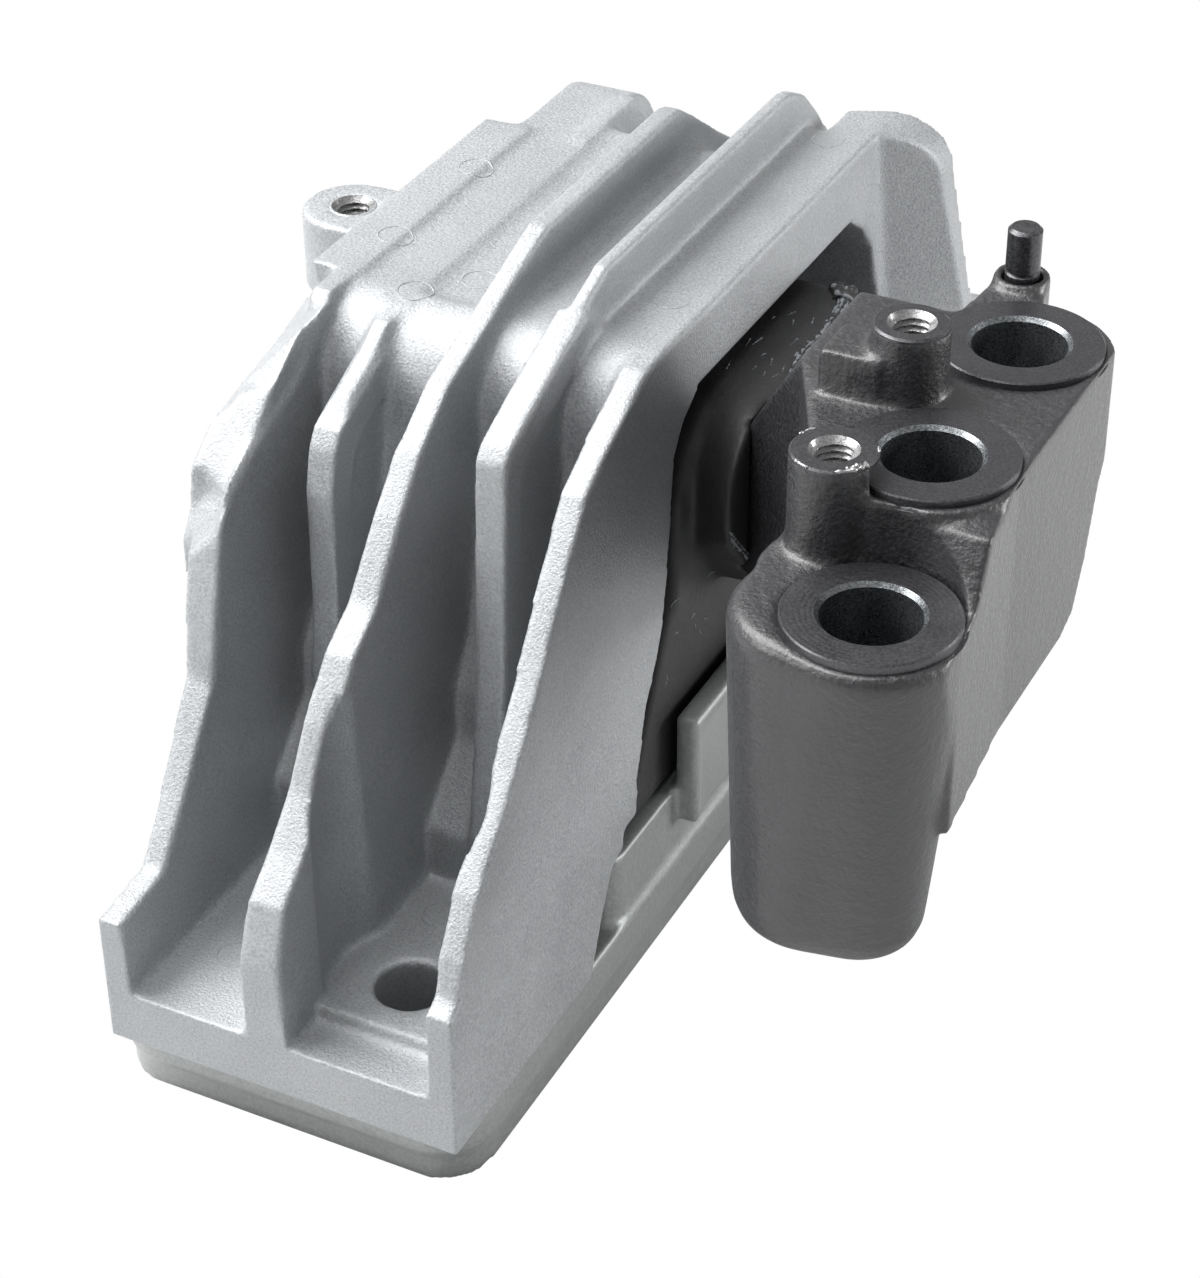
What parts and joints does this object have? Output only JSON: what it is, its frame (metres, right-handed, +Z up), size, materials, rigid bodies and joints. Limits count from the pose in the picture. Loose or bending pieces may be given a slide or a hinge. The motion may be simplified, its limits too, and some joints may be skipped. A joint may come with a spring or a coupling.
{
  "type": "engine mount",
  "caption": "Hydraulic engine mount: ribbed aluminium bridge on a flat base, with a black iron arm held in rubber through its side window",
  "frame": {"origin": "on the base's flat underside, half way along the bridge and half way across its foot", "axes": "+X across the ribs towards the iron arm, +Y along the bridge, +Z up from the base's underside"},
  "size_m": [0.1357, 0.225, 0.1217],
  "materials": {
    "bridge": "fine blasted casting",
    "base": "smooth casting with small stains",
    "arm": "black painted casting, satin to glossy",
    "locating_pin": "dark oiled steel",
    "rubber": "dull moulded rubber",
    "plated_steel": "plain steel",
    "plate": "plain casting"
  },
  "bodies": {
    "root": {"bridge": "bridge", "base": "base", "arm": "arm", "locating_pin": "locating_pin", "main_spring": "rubber", "spring_ring": "plated_steel", "upper_orifice_plate": "plate", "decoupler_membrane": "rubber", "lower_orifice_plate": "plate", "bellows": "rubber", "bellows_ring": "plated_steel", "bottom_cover": "plated_steel"}
  },
  "joints": []
}
